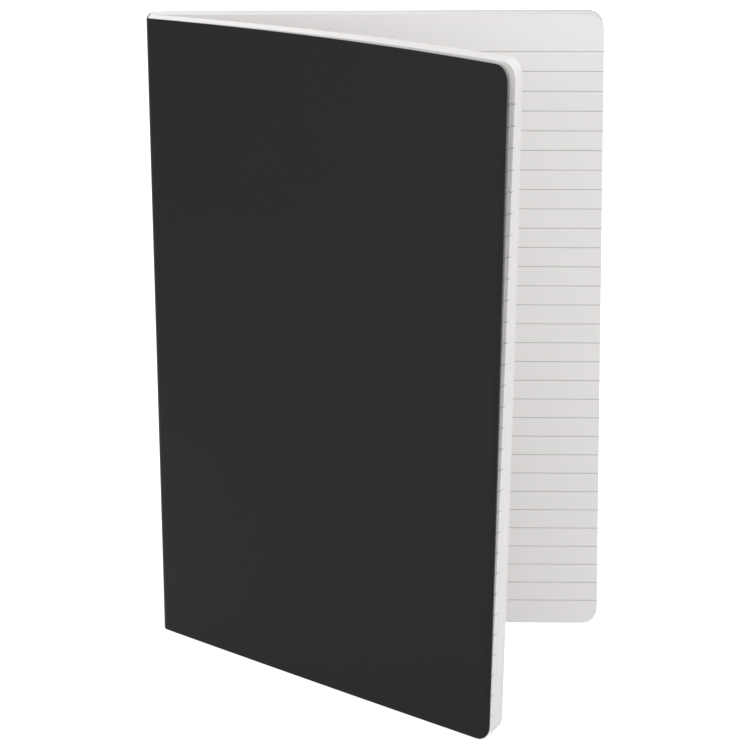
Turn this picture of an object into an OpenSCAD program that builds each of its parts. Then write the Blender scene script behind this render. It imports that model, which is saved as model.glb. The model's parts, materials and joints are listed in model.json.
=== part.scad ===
// Softcover composition notebook, standing on its tail edge and opened in a V.
// The card cover wraps one block of ruled leaves that is glued along the spine.
// Plan view: the spine runs along +Y, the back half along +X and the front half
// swings towards the reader (-Y). Head up, tail down.

/* [Book] */
// Height of the covers and the leaves, from tail to head
book_h = 210; // [148:1:297]
// Width of a cover, from the spine to the fore-edge
book_w = 148; // [105:1:210]
// Radius of the rounded corners at the fore-edge
corner_r = 5; // [2:0.5:15]

/* [Cover] */
// Thickness of the cover card
card_t = 0.4; // [0.3:0.05:0.6]
// Radius on which the spine rounds into the back cover
spine_r = 4.6; // [3:0.1:5]
// Clearance between a cover and the leaf beside it
leaf_gap = 0.3; // [0.2:0.05:0.5]
// Clearance between the spine card and a cover's fold
fold_gap = 0.1; // [0.05:0.05:0.2]

/* [Leaves] */
// Thickness of the leaves in front of the opening, at the spine
front_stack = 7.4; // [5:0.2:9]
// Thickness of the leaves behind the opening, at the spine
back_stack = 5.5; // [4.8:0.1:9]
// Bundles that the leaves in front of the opening part into
front_bundles = 6; // [2:1:8]
// Bundles that the leaves behind the opening part into
back_bundles = 5; // [2:1:8]
// Share of the fanned thickness that is air, at the fore-edge
slit_share = 0.3; // [0.1:0.05:0.5]

/* [Glue] */
// Thickness of the glue film on the spine
glue_t = 0.3; // [0.2:0.05:0.6]
// Length of bare spine left above and below the glue
glue_margin = 1.5; // [0.5:0.5:5]

/* [Opening] */
// Angle of the front half to the back half where it leaves the spine, at the head
head_angle = 28.9; // [15:0.1:60]
// Further angle that the front half curls through on its way to the fore-edge, at the head
head_curl = 18.7; // [0:0.1:40]
// Angle of the front half to the back half where it leaves the spine, at the tail
tail_angle = 42.3; // [15:0.1:60]
// Further angle that the front half curls through on its way to the fore-edge, at the tail
tail_curl = -1.2; // [-5:0.1:40]
// Angle that the front leaves fan through, at the head
front_fan_head = 2.5; // [0:0.1:5]
// Angle that the front leaves fan through, at the tail
front_fan_tail = 0; // [0:0.1:5]
// Angle that the back leaves fan through, at the head
back_fan_head = 1.7; // [0:0.1:5]
// Angle that the back leaves fan through, at the tail
back_fan_tail = 0.3; // [0:0.1:5]
// Depth of glued paper between the spine and the gutter, at the head
gutter_head = 0.7; // [0.5:0.1:5]
// Depth of glued paper between the spine and the gutter, at the tail
gutter_tail = 3.9; // [0.5:0.1:5]

/* [Hidden] */
$fn = 64;

card_black = [0.17, 0.165, 0.165];
paper_white = [0.93, 0.925, 0.91];
glue_amber = [0.86, 0.8, 0.64];

// Steps along a leaf, round a fore-edge corner, up the straight fore-edge and round the spine
leaf_steps = 8;
corner_steps = 4;
edge_steps = 3;
round_steps = 4;

// The front cover turns about the outer corner of the spine, which lies at x = 0, y = 0.
// The leaves start behind the spine card and its glue.
spine_x = card_t + glue_t;
// Outermost front leaf, gutter and outermost back leaf, counted across the spine
front_y = (card_t + leaf_gap - spine_x * sin(head_angle)) / cos(head_angle);
gutter_y = front_y + front_stack;
back_y = gutter_y + back_stack;
// Outside of the back cover, and where the flat of the spine starts and ends
book_t = back_y + leaf_gap + card_t;
spine_foot = card_t + fold_gap;
round_y = book_t - spine_r;
leaf_w = book_w - spine_x;

function mix(a, b, u) = a + (b - a) * u;

// Heights of the sections: round the tail corner, up the fore-edge, round the head corner
heights = concat(
    [for (i = [0 : corner_steps]) corner_r * (1 - cos(90 * i / corner_steps))],
    [for (i = [1 : edge_steps]) mix(corner_r, book_h - corner_r, i / (edge_steps + 1))],
    [for (i = [corner_steps : -1 : 0]) book_h - corner_r * (1 - cos(90 * i / corner_steps))]);

// How far the rounded corner sets the fore-edge back at height z
function to_corner(z) = max(0, corner_r - z, z - (book_h - corner_r));
function setback(z) = corner_r - sqrt(max(0, corner_r * corner_r - to_corner(z) * to_corner(z)));

// Point at length s on an arc of length l that starts in direction a and turns by curl
function arc_point(s, l, a, curl) =
    let (turn = curl * s / l,
         chord = abs(turn) < 0.001 ? s : s * sin(turn / 2) / (turn * PI / 360))
    [chord * cos(a + turn / 2), chord * sin(a + turn / 2)];

// Direction and curl of the front cover and its leaves at height z
function front_dir(z) = -mix(tail_angle, head_angle, z / book_h);
function front_curl(z) = -mix(tail_curl, head_curl, z / book_h);

// Bottom of the opening at height z
function gutter(z) = [spine_x + mix(gutter_tail, gutter_head, z / book_h), gutter_y];

// Front leaf number u, from 0 at the cover to 1 at the opening, at length s and height z
function front_leaf(u, s, z) =
    mix([spine_x, front_y], gutter(z), u)
    + arc_point(s, leaf_w, front_dir(z) + u * mix(front_fan_tail, front_fan_head, z / book_h),
                front_curl(z));

// Back leaf number u, from 0 at the opening to 1 at the cover, at length s and height z
function back_leaf(u, s, z) =
    let (start = mix(gutter(z), [spine_x, back_y], u),
         fan = -(1 - u) * mix(back_fan_tail, back_fan_head, z / book_h),
         reach = s * (book_w - start[0]) / leaf_w)
    start + [reach * cos(fan), reach * sin(fan)];

// Length along a leaf of step k at height z
function leaf_s(k, z) = (leaf_w - setback(z)) * k / leaf_steps;

// Half the width of a slit at step k, as a share of the stack
function slit(k, bundles) = slit_share / bundles / 2 * (k + 1) / (leaf_steps + 1);

// The two sides of bundle b at step k, as shares of the stack: each lies half a slit in from its
// neighbour, but the outermost sides have no slit
function near_side(b, bundles, k) = b / bundles + (b > 0 ? slit(k, bundles) : 0);
function far_side(b, bundles, k) = (b + 1) / bundles - (b < bundles - 1 ? slit(k, bundles) : 0);

// Points of the leaves at height z: out and back round each bundle in front of the opening, the
// same for each bundle behind it, then the gutter, the round of the back and the foot of the spine
function block_section(z) = concat(
    [for (b = [0 : front_bundles - 1]) each concat(
        [for (k = [1 : leaf_steps])
            front_leaf(near_side(b, front_bundles, k), leaf_s(k, z), z)],
        [for (k = [leaf_steps : -1 : 1])
            front_leaf(far_side(b, front_bundles, k), leaf_s(k, z), z)])],
    [for (b = [0 : back_bundles - 1]) each concat(
        [for (k = [1 : leaf_steps])
            back_leaf(near_side(b, back_bundles, k), leaf_s(k, z), z)],
        [for (k = [leaf_steps : -1 : 1])
            back_leaf(far_side(b, back_bundles, k), leaf_s(k, z), z)])],
    [gutter(z)],
    [for (i = [0 : round_steps])
        [spine_r - (spine_r - spine_x) * sin(90 * i / round_steps),
         round_y + (back_y - round_y) * cos(90 * i / round_steps)]],
    [[spine_x, front_y]]);

// Where those points lie in the list
bundle_run = 2 * leaf_steps;
gutter_i = bundle_run * (front_bundles + back_bundles);
spine_i = gutter_i + round_steps + 2;

// Indices of the root points of bundles a to b
function roots(a, b) = [for (i = [a : b]) each [i * bundle_run, (i + 1) * bundle_run - 1]];

// Triangles from one point to a row of others
function fan(hub, rim) = [for (i = [0 : len(rim) - 2]) [hub, rim[i], rim[i + 1]]];

// Order of the points round the block, and the faces that close it at tail and head
block_outline = concat(
    [for (i = [0 : front_bundles * bundle_run - 1]) i],
    [gutter_i],
    [for (i = [front_bundles * bundle_run : gutter_i - 1]) i],
    [for (i = [gutter_i + 1 : spine_i]) i]);
block_ends = concat(
    [for (b = [0 : front_bundles + back_bundles - 1], k = [0 : leaf_steps - 2])
        let (p = b * bundle_run + k, q = (b + 1) * bundle_run - 1 - k) [p, p + 1, q - 1, q]],
    fan(spine_i, concat(roots(0, front_bundles - 1), [gutter_i])),
    fan(gutter_i, concat(roots(front_bundles, front_bundles + back_bundles - 1),
                         [for (i = [gutter_i + 1 : spine_i]) i])));

// Point on the front cover at step k and height z, at depth d in the card
function cover_point(k, z, d) =
    let (s = (book_w - setback(z)) * k / leaf_steps,
         a = front_dir(z) + front_curl(z) * s / book_w)
    arc_point(s, book_w, front_dir(z), front_curl(z)) + d * [-sin(a), cos(a)];

// Points of the front cover at height z, out along its outer face and back along the inner one
function cover_section(z) = concat(
    [for (k = [0 : leaf_steps]) cover_point(k, z, 0)],
    [for (k = [leaf_steps : -1 : 0]) cover_point(k, z, card_t)]);
cover_outline = [for (i = [0 : 2 * leaf_steps + 1]) i];
cover_ends = [for (k = [0 : leaf_steps - 1]) [k, k + 1, 2 * leaf_steps - k, 2 * leaf_steps + 1 - k]];

// Middle of the book's footprint
near_y = min([for (z = heights) cover_point(leaf_steps, z, 0)[1]]);
middle = [book_w / 2, (near_y + book_t) / 2];

// Solid through sections of equally many points, one section at each height, with its end faces
// given. Each wall is split along the diagonal that rises towards the fore-edge, so that both
// sides of a leaf twist alike.
module loft(sections, outline, ends) {
    m = len(sections[0]);
    n = len(sections);
    top = (n - 1) * m;
    polyhedron(
        points = [for (j = [0 : n - 1], p = sections[j]) [p[0], p[1], heights[j]]],
        faces = concat(
            ends,
            [for (e = ends) [for (i = [len(e) - 1 : -1 : 0]) top + e[i]]],
            [for (j = [0 : n - 2], i = [0 : len(outline) - 1])
                let (a = outline[i], b = outline[(i + 1) % len(outline)],
                     outward = sections[j][b][0] > sections[j][a][0],
                     p = j * m + a, q = j * m + b)
                each outward ? [[p, p + m, q + m], [p, q + m, q]]
                             : [[p, p + m, q], [p + m, q + m, q]]]));
}

// Flat card panel on X and Z with its two fore-edge corners rounded
module panel(w, h, t) {
    rotate([90, 0, 0]) linear_extrude(t) {
        square([w - corner_r, h]);
        translate([w - corner_r - 1, corner_r]) square([corner_r + 1, h - 2 * corner_r]);
        for (z = [corner_r, h - corner_r])
            translate([w - corner_r, z]) circle(corner_r);
    }
}

// Front cover: one panel of card, curled towards the reader at the head
module front_cover() {
    color(card_black) translate([-middle[0], -middle[1], 0])
        loft([for (z = heights) cover_section(z)], cover_outline, cover_ends);
}

// Back cover: one flat panel of card, which turns about the outer end of the round
module back_cover() {
    color(card_black) translate([spine_r - middle[0], book_t - middle[1], 0])
        panel(book_w - spine_r, book_h, card_t);
}

// Spine of the cover: a flat strip of card that rounds into the back cover
module cover_spine() {
    color(card_black) translate([-middle[0], -middle[1], 0]) linear_extrude(book_h) {
        translate([0, spine_foot]) square([card_t, round_y - spine_foot]);
        intersection() {
            translate([spine_r, round_y]) difference() {
                circle(spine_r);
                circle(spine_r - card_t);
            }
            translate([0, round_y]) square([spine_r - fold_gap, spine_r]);
        }
    }
}

// Glue film between the flat of the spine and the leaves
module spine_glue() {
    color(glue_amber) translate([card_t - middle[0], spine_foot - middle[1], glue_margin])
        cube([glue_t, round_y - spine_foot, book_h - 2 * glue_margin]);
}

// All the leaves as one solid: bound at the spine, fanned to the fore-edge in bundles
module text_block() {
    color(paper_white) translate([-middle[0], -middle[1], 0])
        loft([for (z = heights) block_section(z)], block_outline, block_ends);
}

front_cover();
back_cover();
cover_spine();
spine_glue();
text_block();
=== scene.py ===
import json
import math
import random

import bmesh
import bpy
from mathutils import Matrix, Vector


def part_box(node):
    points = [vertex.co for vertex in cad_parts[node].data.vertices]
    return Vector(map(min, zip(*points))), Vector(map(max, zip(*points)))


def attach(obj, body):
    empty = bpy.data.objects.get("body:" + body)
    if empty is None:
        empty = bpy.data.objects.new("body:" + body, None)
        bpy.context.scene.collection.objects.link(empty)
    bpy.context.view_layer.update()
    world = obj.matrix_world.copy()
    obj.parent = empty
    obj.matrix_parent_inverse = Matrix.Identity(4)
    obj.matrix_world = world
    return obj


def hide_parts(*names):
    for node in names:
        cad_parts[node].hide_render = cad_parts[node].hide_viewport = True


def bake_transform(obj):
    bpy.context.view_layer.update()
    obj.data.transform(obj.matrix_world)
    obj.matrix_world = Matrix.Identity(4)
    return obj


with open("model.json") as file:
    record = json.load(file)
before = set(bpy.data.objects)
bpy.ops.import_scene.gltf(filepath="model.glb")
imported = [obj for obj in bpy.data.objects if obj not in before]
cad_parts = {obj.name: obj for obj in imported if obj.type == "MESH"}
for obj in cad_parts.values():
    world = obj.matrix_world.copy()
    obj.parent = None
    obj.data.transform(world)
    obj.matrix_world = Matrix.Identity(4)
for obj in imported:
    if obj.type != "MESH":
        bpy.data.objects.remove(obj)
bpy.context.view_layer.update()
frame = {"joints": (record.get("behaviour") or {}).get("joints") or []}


# Front half of the cover
# One sheet of black laminated card, scored and folded round the book. This piece is half of its
# flat spine, the tight fold and the front cover, which curls towards the reader at the head.

# Page size, and the thickness of the card, of the glue and of the leaves on each side of the opening
book_h, book_w = 0.210, 0.148
card_t, glue_t = 0.0004, 0.0003
front_stack, back_stack, leaf_gap = 0.0074, 0.0055, 0.0003

# Angle between the two halves of the book, and how far the front half then curls to its fore-edge
head_angle, tail_angle = math.radians(28.9), math.radians(42.3)
head_curl, tail_curl = math.radians(18.7), math.radians(-1.2)

# Rounds: the fore-edge corners, the spine into the back, the soft fold each way, the card's edges
corner_r, spine_r = 0.005, 0.0046
fold_round, edge_break = 0.0015, 0.00005
touching = 0.00001

# Places in plan: x from the outside of the spine, y from its front edge towards the back
spine_x = card_t + glue_t
front_y = (card_t + leaf_gap - spine_x * math.sin(head_angle)) / math.cos(head_angle)
gutter_y = front_y + front_stack
back_y = gutter_y + back_stack
book_t = back_y + leaf_gap + card_t
round_y = book_t - spine_r
spine_middle_y = 0.5 * round_y

folds = {joint["name"]: Vector(joint["pos_m"]) for joint in frame["joints"]}
front_fold = folds["front_fold"]


def mix(a, b, share):
    """The number at that share of the way from a to b."""
    return a + (b - a) * share


def steps(start, end, count):
    """Evenly spaced numbers from start to end, with both of them."""
    return [mix(start, end, i / count) for i in range(count + 1)]


def by_height(tail, head, z):
    """A measure that changes evenly from the tail of the book to its head."""
    return mix(tail, head, z / book_h)


def front_direction(z):
    """Direction in plan in which the front cover and its leaves leave the spine."""
    return -by_height(tail_angle, head_angle, z)


def front_curl(z):
    """How far the front cover and its leaves turn on their way to the fore-edge."""
    return -by_height(tail_curl, head_curl, z)


def set_back(z):
    """How far the rounded fore-edge corner lies back from the straight edge at height z."""
    into = max(0.0, corner_r - z, z - (book_h - corner_r))
    return corner_r - math.sqrt(max(0.0, corner_r ** 2 - into ** 2))


def on_arc(length, whole, direction, curl):
    """Point at that length on an arc that turns by curl over its whole length."""
    turn = curl * length / whole
    chord = length * math.sin(turn / 2) / (turn / 2) if turn else length
    return Vector((chord * math.cos(direction + turn / 2), chord * math.sin(direction + turn / 2)))


def front_card(length, z):
    """Plan point of the front half by its length from the fold: below 0 on the spine, above 0 outwards."""
    if length <= -fold_round:
        return Vector((0.0, -length))
    if length < fold_round:
        share = (length / fold_round + 1) / 2
        out = on_arc(fold_round, book_w, front_direction(z), front_curl(z))
        return Vector((0.0, fold_round)) * (1 - share) ** 2 + out * share ** 2
    return on_arc(length * (1 - set_back(z) / book_w), book_w, front_direction(z), front_curl(z))


def sheet_heights(round_steps, straight_steps):
    """Heights of a sheet's rows, close together where its corners are rounded."""
    turn = [corner_r * (1 - math.cos(math.pi / 2 * i / round_steps)) for i in range(round_steps)]
    return turn + steps(corner_r, book_h - corner_r, straight_steps) + [book_h - z for z in reversed(turn)]


def shaped_sheet(bm, lengths, heights, place):
    """Adds a flat grid and bends it: place(length along the sheet, height) gives a point in plan."""
    columns, rows = len(lengths) - 1, len(heights) - 1
    grid = bmesh.ops.create_grid(bm, x_segments=columns, y_segments=rows, size=0.5)["verts"]
    for v in grid:
        length, z = lengths[round((v.co.x + 0.5) * columns)], heights[round((v.co.y + 0.5) * rows)]
        x, y = place(length, z)
        v.co = (x + front_fold.x, y + front_fold.y, z)


def give_thickness(bm, thickness):
    """Makes every sheet that thick: material 0 on its first side, 1 on the cut edge, 2 behind."""
    first = set(bm.faces)
    bm.normal_update()
    bmesh.ops.solidify(bm, geom=bm.faces[:], thickness=thickness)
    for f in bm.faces:
        if f in first:
            f.material_index = 0
        else:
            beside = {g for e in f.edges for g in e.link_faces}
            f.material_index = 1 if beside & first else 2


def at_seam(place):
    """True in the middle of the spine, where the two halves of the card meet."""
    return abs(place.y - front_fold.y - spine_middle_y) < touching


def break_edges(bm):
    """Breaks the sharp edges of the card all round, except where its halves meet."""
    sharp = [e for e in bm.edges if len({f.material_index for f in e.link_faces}) == 2
             and not all(at_seam(v.co) for v in e.verts)]
    bmesh.ops.bevel(bm, geom=sharp, offset=edge_break, segments=2, profile=0.5, affect="EDGES",
                    clamp_overlap=True, material=-1)


def finished(bm, name, materials):
    """The bmesh as an object whose place is in its mesh."""
    mesh = bpy.data.meshes.new(name)
    bm.to_mesh(mesh)
    bm.free()
    obj = bpy.data.objects.new(name, mesh)
    bpy.context.scene.collection.objects.link(obj)
    for m in materials:
        mesh.materials.append(m)
    mesh.shade_smooth()
    mesh.set_sharp_from_angle(angle=math.radians(35))
    return obj


def math_node(tree, operation, *values):
    """Output of a new Math node in the tree, whose inputs are the given sockets or numbers."""
    node = tree.nodes.new("ShaderNodeMath")
    node.operation = operation
    for socket, value in zip(node.inputs, values):
        if isinstance(value, bpy.types.NodeSocket):
            tree.links.new(value, socket)
        else:
            socket.default_value = value
    return node.outputs[0]


def fibre_group():
    """Paper and card fibre: a fine mottle for the colour and a height for the bump."""
    group = bpy.data.node_groups.new("Fibre", "ShaderNodeTree")
    for label in ("Grain size", "Cloud size", "Contrast"):
        group.interface.new_socket(label, in_out="INPUT", socket_type="NodeSocketFloat")
    for label in ("Shade", "Height"):
        group.interface.new_socket(label, in_out="OUTPUT", socket_type="NodeSocketFloat")
    nodes, links = group.nodes, group.links
    given, out = nodes.new("NodeGroupInput"), nodes.new("NodeGroupOutput")
    place = nodes.new("ShaderNodeTexCoord")
    mottle = []
    for label, detail in (("Grain size", 4.0), ("Cloud size", 3.0)):
        noise = nodes.new("ShaderNodeTexNoise")
        noise.inputs["Detail"].default_value = detail
        links.new(given.outputs[label], noise.inputs["Scale"])
        links.new(place.outputs["Object"], noise.inputs["Vector"])
        mottle.append(noise.outputs["Fac"])
    centred = math_node(group, "SUBTRACT", math_node(group, "ADD", *mottle), 1.0)
    shade = math_node(group, "MULTIPLY_ADD", centred, given.outputs["Contrast"], 1.0)
    links.new(shade, out.inputs["Shade"])
    links.new(mottle[0], out.inputs["Height"])
    return group


fibre = fibre_group()
fibre_depth = 0.00005


def sheet_material(name, colour, roughness, specular, grain, cloud, contrast, bump):
    """Principled material whose colour and bump carry the fibre."""
    material = bpy.data.materials.new(name)
    material.use_nodes = True
    nodes, links = material.node_tree.nodes, material.node_tree.links
    shader = nodes["Principled BSDF"]
    shader.inputs["Roughness"].default_value = roughness
    shader.inputs["Specular IOR Level"].default_value = specular
    look = nodes.new("ShaderNodeGroup")
    look.node_tree = fibre
    look.inputs["Grain size"].default_value = grain
    look.inputs["Cloud size"].default_value = cloud
    look.inputs["Contrast"].default_value = contrast
    tint = nodes.new("ShaderNodeMix")
    tint.data_type = "RGBA"
    tint.blend_type = "MULTIPLY"
    tint.inputs["Factor"].default_value = 1.0
    tint.inputs["A"].default_value = (*colour, 1.0)
    links.new(look.outputs["Shade"], tint.inputs["B"])
    links.new(tint.outputs["Result"], shader.inputs["Base Color"])
    relief = nodes.new("ShaderNodeBump")
    relief.inputs["Strength"].default_value = bump
    relief.inputs["Distance"].default_value = fibre_depth
    links.new(look.outputs["Height"], relief.inputs["Height"])
    links.new(relief.outputs["Normal"], shader.inputs["Normal"])
    return material


laminate = sheet_material(
    "Black laminate", colour=(0.0082, 0.0074, 0.0074), roughness=0.55, specular=0.15,
    grain=2600.0, cloud=25.0, contrast=0.25, bump=0.5)
cut_card = sheet_material(
    "Cut black card", colour=(0.045, 0.044, 0.044), roughness=0.8, specular=0.3,
    grain=4000.0, cloud=300.0, contrast=0.5, bump=0.5)
bare_card = sheet_material(
    "Bare black card", colour=(0.02, 0.0195, 0.02), roughness=0.85, specular=0.3,
    grain=1800.0, cloud=90.0, contrast=0.3, bump=0.6)
cover_sides = [laminate, cut_card, bare_card]
cover_rows = sheet_heights(round_steps=8, straight_steps=22)

bm = bmesh.new()
on_spine = steps(-spine_middle_y, -fold_round, 4)
on_fold = steps(-fold_round, fold_round, 10)[1:-1]
on_front = steps(fold_round, book_w, 40)
shaped_sheet(bm, on_spine + on_fold + on_front, cover_rows, front_card)
give_thickness(bm, card_t)
break_edges(bm)
cover_front = finished(bm, "cover_front_half", cover_sides)
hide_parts("front_cover", "cover_spine")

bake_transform(cover_front)


# Back half of the cover
# The rest of the same card: the other half of the flat spine, the round that takes the spine
# into the back, and the flat back cover.

quarter = math.pi / 2 * spine_r


def back_card(length, z):
    """Plan point of the back half by its length from the round: below 0 on the back, then to the spine."""
    if length <= 0:
        return Vector((spine_r - length * (1 - set_back(z) / (book_w - spine_r)), book_t))
    if length < quarter:
        turn = length / spine_r
        return Vector((spine_r - spine_r * math.sin(turn), round_y + spine_r * math.cos(turn)))
    return Vector((0.0, round_y - (length - quarter)))


bm = bmesh.new()
on_back = steps(spine_r - book_w, 0.0, 36)
on_round = steps(0.0, quarter, 12)[1:-1]
to_seam = steps(quarter, quarter + round_y - spine_middle_y, 4)
shaped_sheet(bm, on_back + on_round + to_seam, cover_rows, back_card)
give_thickness(bm, card_t)
break_edges(bm)
cover_back = finished(bm, "cover_back_half", cover_sides)
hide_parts("back_cover", "cover_spine")
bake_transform(cover_back)


# Leaves
# White ruled paper, cut to the shape of the cover and glued along the spine. In front of the
# opening the leaves follow the cover, the first ones parted; behind it they lie on the back.

# How far the opening's gutter stands off the glue, and how wide each half fans, at head and tail
gutter_head, gutter_tail = 0.0007, 0.0039
front_fan_head, front_fan_tail = math.radians(2.5), math.radians(0.0)
back_fan_head, back_fan_tail = math.radians(1.7), math.radians(0.3)

# One leaf: its gap to the card of the spine, how far the soft fold draws that card in for each metre
# along the spine, and how much the leaves differ in length
leaf_w, leaf_t = book_w - spine_x, 0.00012
root_gap, fold_pull, trim_play = 0.00006, 0.22, 0.00008

# Height of the top rule, and the colours of paper and print
first_rule, rule_pitch, rule_thick, rule_count = 0.198, 0.006548, 0.00022, 30
paper_white, rule_grey = (0.85, 0.835, 0.825), (0.40, 0.40, 0.41)


def gutter(z):
    """Plan point where the two sides of the opening meet at height z."""
    return Vector((spine_x + by_height(gutter_tail, gutter_head, z), gutter_y))


def inside_spine(y):
    """Where the card's inner face is: drawn in by the soft fold, flat, then rounded towards the back."""
    into_round = max(0.0, y - round_y)
    drawn_in = fold_pull * max(0.0, fold_round - y)
    return spine_r - math.sqrt((spine_r - card_t) ** 2 - into_round ** 2) + drawn_in


def root(y):
    """Plan point where a leaf ends in the glue, just inside the card of the spine."""
    return Vector((inside_spine(y) + root_gap, y))


def front_leaf(rank, share, z, fan, short):
    """Plan point of a leaf in front of the opening, at a share of its width, or below 0 at its root.

    The rank runs from 0 for the first leaf of that side to 1 for the last.
    """
    start = Vector((spine_x, front_y)).lerp(gutter(z), rank)
    if share < 0:
        return root(start.y)
    turned = front_direction(z) + fan * by_height(front_fan_tail, front_fan_head, z)
    return start + on_arc((leaf_w - short - set_back(z)) * share, leaf_w, turned, front_curl(z))


def back_leaf(rank, share, z, fan, short):
    """Plan point of a leaf behind the opening: flat on the back, or lifted a little from the gutter on."""
    start = gutter(z).lerp(Vector((spine_x, back_y)), rank)
    first = root(start.y).x
    x = first + (book_w - short - set_back(z) - first) * max(0.0, share)
    lift = (1 - fan) * by_height(back_fan_tail, back_fan_head, z)
    return Vector((x, start.y - max(0.0, x - max(first, start.x)) * math.tan(lift)))


def fan_of(rank, loose, spread):
    """Share of the fan at that rank: those before the loose rank take up the spread, the rest stay close."""
    if rank < loose:
        return spread * rank / loose
    return spread + (1 - spread) * (rank - loose) / (1 - loose)


def ruled_material():
    """Paper with faint grey rules printed across the whole width of the leaf."""
    material = sheet_material(
        "Ruled paper", colour=paper_white, roughness=0.85, specular=0.2,
        grain=1400.0, cloud=45.0, contrast=0.03, bump=0.3)
    tree = material.node_tree
    nodes, links = tree.nodes, tree.links
    shader = nodes["Principled BSDF"]
    paper = shader.inputs["Base Color"].links[0].from_socket
    place, parts = nodes.new("ShaderNodeTexCoord"), nodes.new("ShaderNodeSeparateXYZ")
    links.new(place.outputs["Object"], parts.inputs[0])
    count = math_node(tree, "MULTIPLY_ADD", parts.outputs["Z"], -1 / rule_pitch, first_rule / rule_pitch)
    nearest = math_node(tree, "ROUND", count)
    away = math_node(tree, "ABSOLUTE", math_node(tree, "SUBTRACT", count, nearest))
    on_line = math_node(tree, "LESS_THAN", away, 0.5 * rule_thick / rule_pitch)
    from_first = math_node(tree, "GREATER_THAN", nearest, -0.5)
    to_last = math_node(tree, "LESS_THAN", nearest, rule_count - 0.5)
    printed = math_node(tree, "MULTIPLY", math_node(tree, "MULTIPLY", from_first, to_last), on_line)
    ink = nodes.new("ShaderNodeMix")
    ink.data_type = "RGBA"
    ink.inputs["B"].default_value = (*rule_grey, 1.0)
    links.new(printed, ink.inputs["Factor"])
    links.new(paper, ink.inputs["A"])
    links.new(ink.outputs["Result"], shader.inputs["Base Color"])
    return material


ruled_paper = ruled_material()
cut_paper = sheet_material(
    "Cut paper edge", colour=paper_white, roughness=0.9, specular=0.1,
    grain=2500.0, cloud=200.0, contrast=0.08, bump=0.5)
draw = random.Random(7)


def leaves(name, which, count, leaf, loose, spread, columns, edge):
    """One mesh of thin closed sheets: the leaves numbered which, of the count on that side."""
    bm = bmesh.new()
    shares = [i / columns for i in range(-1, columns + 1)]
    heights = sheet_heights(round_steps=5, straight_steps=14)
    for i in which:
        rank = (i + 0.5) / count
        fan = fan_of(rank, loose, spread)
        short = draw.uniform(0.0, trim_play)
        shaped_sheet(bm, shares, heights, lambda share, z: leaf(rank, share, z, fan, short))
    give_thickness(bm, leaf_t)
    obj = finished(bm, name, [ruled_paper, edge, ruled_paper])
    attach(obj, "book_block")
    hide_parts("text_block")


# The first front leaves stand off the cover at the head, and the ends of their rules show on the edge
front_count, parted, back_count = 62, 14, 44
front_side = {"count": front_count, "leaf": front_leaf, "loose": 0.02, "spread": 0.62, "columns": 14}
back_side = {"count": back_count, "leaf": back_leaf, "loose": 1.0, "spread": 1.0, "columns": 10}
leaves("first_leaves", range(parted), edge=ruled_paper, **front_side)
leaves("front_leaves", range(parted, front_count), edge=cut_paper, **front_side)
leaves("back_leaves", range(back_count), edge=cut_paper, **back_side)


# Spine glue
# A thin film of amber hot-melt glue between the leaves and the card of the spine. It is rolled on
# hot, and its ends are a little ragged, short of the head and the tail.

low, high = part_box("spine_glue")
film_t, ragged = 0.9 * glue_t, 0.0004
hot_melt = sheet_material(
    "Hot-melt glue", colour=(0.62, 0.48, 0.24), roughness=0.35, specular=0.5,
    grain=500.0, cloud=60.0, contrast=0.2, bump=0.6)


def glue_place(share, z):
    """Plan point of the film's outer side, along the card's inner face."""
    y = mix(low.y, high.y, share) - front_fold.y
    return Vector((inside_spine(y) + glue_t / 2, y))


bm = bmesh.new()
shaped_sheet(bm, steps(0.0, 1.0, 10), steps(low.z, high.z, 40), glue_place)
for v in bm.verts:
    if v.co.z in (low.z, high.z):
        v.co.z += draw.uniform(-ragged, ragged)
give_thickness(bm, film_t)
glue_film = finished(bm, "spine_glue_film", [hot_melt] * 3)
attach(glue_film, "book_block")
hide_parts("spine_glue")


# Studio
# A plain white floor, a soft white surround and a camera at the photograph's viewing angle.

# The floor lies just under the tail. Its glow is only seen directly, and the surround is then 1
floor_half, floor_z, floor_glow = 6.0, -0.0002, 0.56
stray_light = 0.64


def seen_directly(tree):
    """1 for what the camera sees by itself, through something or mirrored in it, and 0 for stray light."""
    ray = tree.nodes.new("ShaderNodeLightPath").outputs
    through = math_node(tree, "MAXIMUM", ray["Is Camera Ray"], ray["Is Transmission Ray"])
    return math_node(tree, "MAXIMUM", through, ray["Is Glossy Ray"])


def light(name, place, target, size, watts):
    """A square lamp that shines from its place towards the target."""
    lamp = bpy.data.lights.new(name, "AREA")
    lamp.size = size
    lamp.energy = watts
    obj = bpy.data.objects.new(name, lamp)
    obj.location = place
    obj.rotation_euler = (Vector(target) - Vector(place)).to_track_quat("-Z", "Y").to_euler()
    bpy.context.scene.collection.objects.link(obj)


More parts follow.
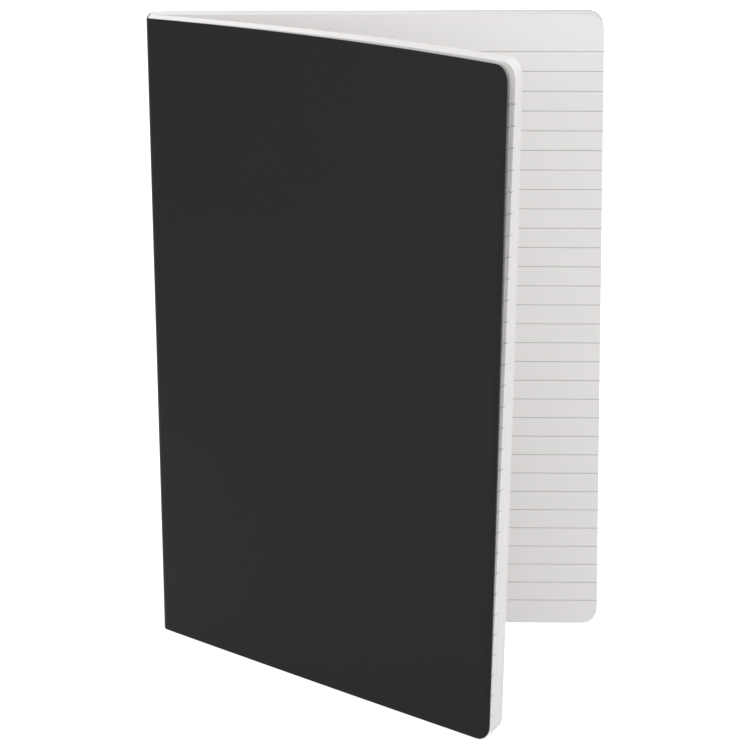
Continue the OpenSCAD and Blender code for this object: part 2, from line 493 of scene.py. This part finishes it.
bm = bmesh.new()
bmesh.ops.create_grid(bm, x_segments=2, y_segments=2, size=floor_half,
                      matrix=Matrix.Translation((0.0, 0.0, floor_z)))
paint = bpy.data.materials.new("Pale floor")
paint.use_nodes = True
shader = paint.node_tree.nodes["Principled BSDF"]
shader.inputs["Base Color"].default_value = (0.9, 0.9, 0.9, 1.0)
shader.inputs["Roughness"].default_value = 0.9
shader.inputs["Specular IOR Level"].default_value = 0.0
shader.inputs["Emission Color"].default_value = (1.0, 1.0, 1.0, 1.0)
glow = math_node(paint.node_tree, "MULTIPLY", seen_directly(paint.node_tree), floor_glow)
paint.node_tree.links.new(glow, shader.inputs["Emission Strength"])
floor = finished(bm, "floor", [paint])

world = bpy.data.worlds.new("Soft surround")
bpy.context.scene.world = world
world.use_nodes = True
surround = world.node_tree.nodes["Background"]
surround.inputs["Color"].default_value = (1.0, 1.0, 1.0, 1.0)
strength = math_node(
    world.node_tree, "MULTIPLY_ADD", seen_directly(world.node_tree), 1.0 - stray_light, stray_light)
world.node_tree.links.new(strength, surround.inputs["Strength"])

light("Top", place=(0.0, -0.3, 1.5), target=(0.0, 0.0, 0.1), size=1.0, watts=8.0)
light("Front", place=(0.4, -1.25, 0.15), target=(0.0, 0.0, 0.05), size=0.8, watts=2.7)
light("Right", place=(1.3, -0.45, 0.3), target=(0.0, 0.0, 0.05), size=1.0, watts=1.2)
light("Left", place=(-1.1, -0.7, 0.5), target=(0.0, 0.0, 0.1), size=0.4, watts=2.5)

# The eye was fitted to the edges of the notebook in the photograph
eye_place = (0.032488, -0.91250, 0.36146)
heading, looking_down, roll = math.radians(2.012), math.radians(15.852), math.radians(-0.533)
camera = bpy.data.cameras.new("Camera")
camera.sensor_width = 36.0
camera.lens = 143.036
eye = bpy.data.objects.new("Camera", camera)
eye.matrix_world = (Matrix.Translation(eye_place)
                    @ Matrix.Rotation(heading, 4, "Z")
                    @ Matrix.Rotation(math.pi / 2 - looking_down, 4, "X")
                    @ Matrix.Rotation(roll, 4, "Z"))
bpy.context.scene.collection.objects.link(eye)
bpy.context.scene.camera = eye
bpy.context.scene.view_settings.view_transform = "Standard"
